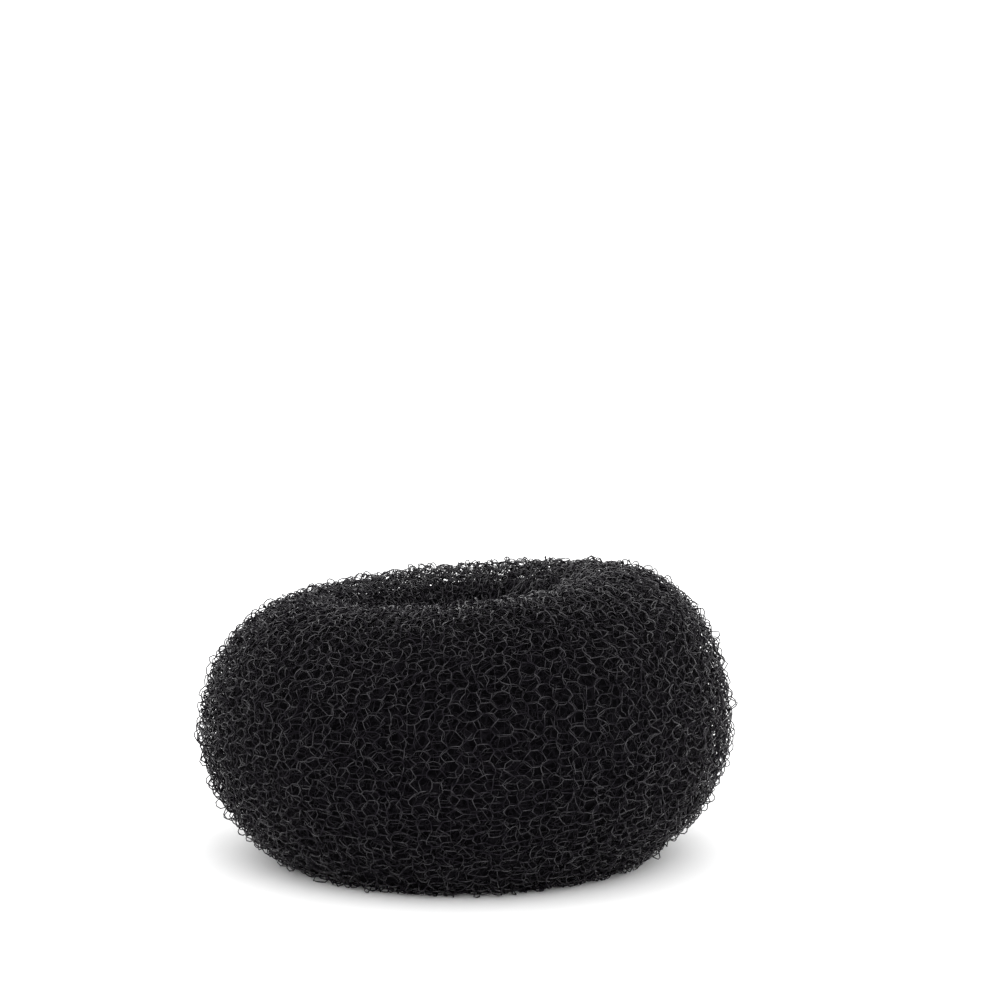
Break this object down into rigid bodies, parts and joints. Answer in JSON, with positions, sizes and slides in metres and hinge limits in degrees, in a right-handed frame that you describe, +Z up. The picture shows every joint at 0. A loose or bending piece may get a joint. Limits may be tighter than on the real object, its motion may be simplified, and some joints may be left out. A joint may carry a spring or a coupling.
{
  "type": "hair donut bun maker",
  "caption": "Thick ring of knitted black nylon mesh with a flared central hole, for shaping a hair bun round a ponytail.",
  "frame": {"origin": "on the surface it rests on, under the centre of the ponytail hole", "axes": "+Z up along the axis of the hole, +X towards the higher side of the roll, -Y towards the front that the picture shows"},
  "size_m": [0.098, 0.098, 0.0527],
  "materials": {
    "nylon_mesh": "satin black nylon monofilament, knitted"
  },
  "bodies": {
    "root": {"mesh_ring": "nylon_mesh"}
  },
  "joints": []
}
